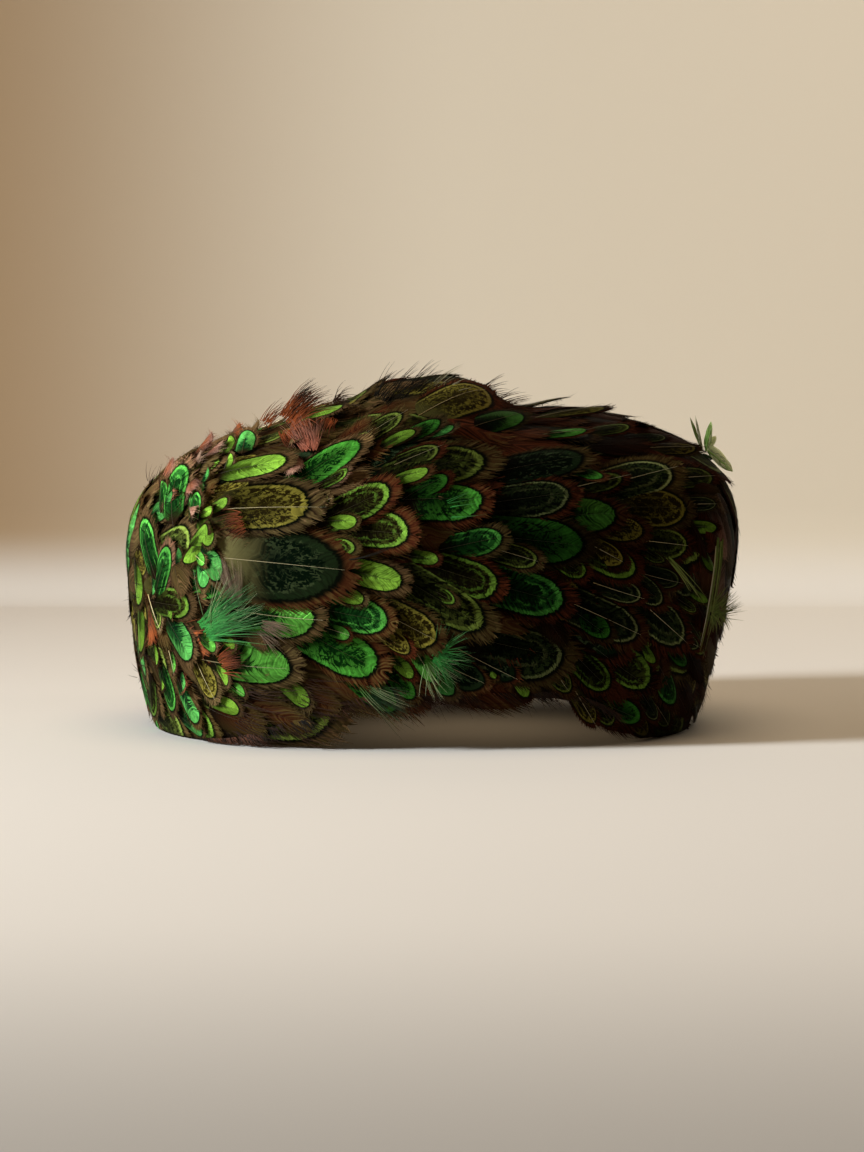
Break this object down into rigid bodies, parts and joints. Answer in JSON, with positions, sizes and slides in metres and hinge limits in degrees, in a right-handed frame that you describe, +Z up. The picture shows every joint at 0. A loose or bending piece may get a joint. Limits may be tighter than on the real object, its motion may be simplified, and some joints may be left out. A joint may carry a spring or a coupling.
{
  "type": "feather pillbox hat",
  "caption": "Hollow domed pillbox hat: a felt foundation cap covered from rim to rim by overlapping courses of green and brown pheasant feathers.",
  "frame": {"origin": "middle of the hat's overall box, on the surface that the rim rests on", "axes": "+Z up through the crown, -X towards the wearer's front, +X towards the back, Y across the head"},
  "size_m": [0.2157, 0.197, 0.1229],
  "materials": {
    "felt": "plain dark brown felt",
    "feathers": "iridescent green and brown feather barbs"
  },
  "bodies": {
    "root": {"foundation_cap": "felt", "front_rosette": "feathers", "feather_course_1": "feathers", "feather_course_2": "feathers", "feather_course_3": "feathers", "feather_course_4": "feathers", "feather_course_5": "feathers", "feather_course_6": "feathers", "feather_course_7": "feathers", "feather_course_8": "feathers", "feather_course_9": "feathers", "back_crown_tuft": "feathers"}
  },
  "joints": []
}
